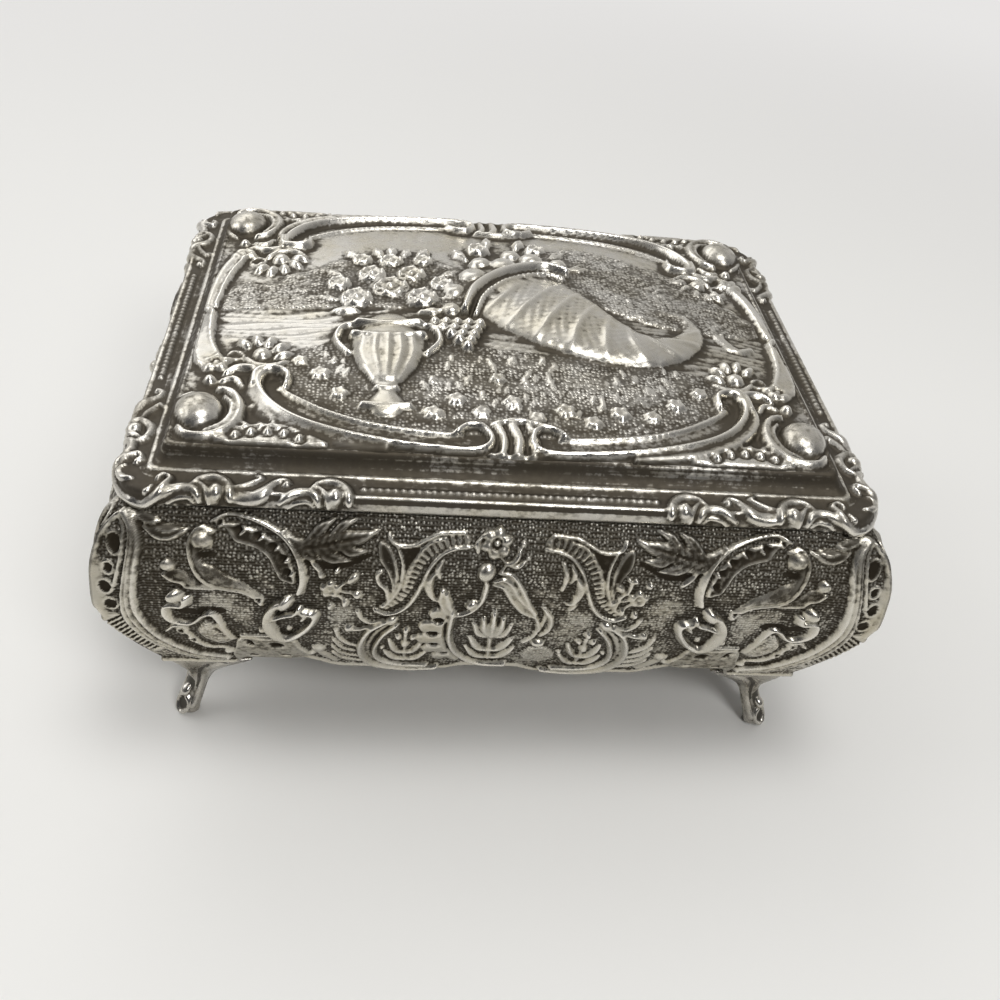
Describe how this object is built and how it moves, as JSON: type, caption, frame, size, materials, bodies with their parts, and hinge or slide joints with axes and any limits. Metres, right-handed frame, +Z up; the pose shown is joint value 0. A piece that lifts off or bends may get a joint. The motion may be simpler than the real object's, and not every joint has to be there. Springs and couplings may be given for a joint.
{
  "type": "trinket box",
  "caption": "Footed, bulging rectangular trinket box in cast antiqued silver-tone metal with scroll relief, a velvet lining and a domed lid hinged at the back.",
  "frame": {"origin": "on the table, under the middle of the box", "axes": "+X to the right, +Y to the hinged back, +Z up; the front faces -Y"},
  "size_m": [0.1286, 0.1046, 0.0659],
  "materials": {
    "antiqued_silver": "cast, silver-plated and antiqued, dark in the recesses",
    "hinge_steel": "plain stamped sheet and wire",
    "floor_sheet": "dull plated sheet",
    "velvet": "short-pile velvet over card"
  },
  "bodies": {
    "casket_body": {"front_wall": "antiqued_silver", "right_wall": "antiqued_silver", "back_wall": "antiqued_silver", "left_wall": "antiqued_silver", "front_left_foot": "antiqued_silver", "front_right_foot": "antiqued_silver", "back_left_foot": "antiqued_silver", "back_right_foot": "antiqued_silver", "floor_plate": "floor_sheet", "floor_pad": "velvet", "front_lining": "velvet", "right_lining": "velvet", "back_lining": "velvet", "left_lining": "velvet", "left_hinge_body_leaf": "hinge_steel", "left_hinge_pin": "hinge_steel", "left_hinge_body_rivet_1": "hinge_steel", "left_hinge_body_rivet_2": "hinge_steel", "right_hinge_body_leaf": "hinge_steel", "right_hinge_pin": "hinge_steel", "right_hinge_body_rivet_1": "hinge_steel", "right_hinge_body_rivet_2": "hinge_steel"},
    "lid": {"lid": "antiqued_silver", "lid_pad": "velvet", "left_hinge_lid_leaf": "hinge_steel", "left_hinge_lid_rivet_1": "hinge_steel", "left_hinge_lid_rivet_2": "hinge_steel", "right_hinge_lid_leaf": "hinge_steel", "right_hinge_lid_rivet_1": "hinge_steel", "right_hinge_lid_rivet_2": "hinge_steel"}
  },
  "joints": [
    {"name": "lid_hinge", "type": "hinge", "parent": "casket_body", "child": "lid", "pos_m": [0, 0.0498, 0.05315], "axis": [-1, 0, 0], "range_deg": [0, 100]}
  ]
}
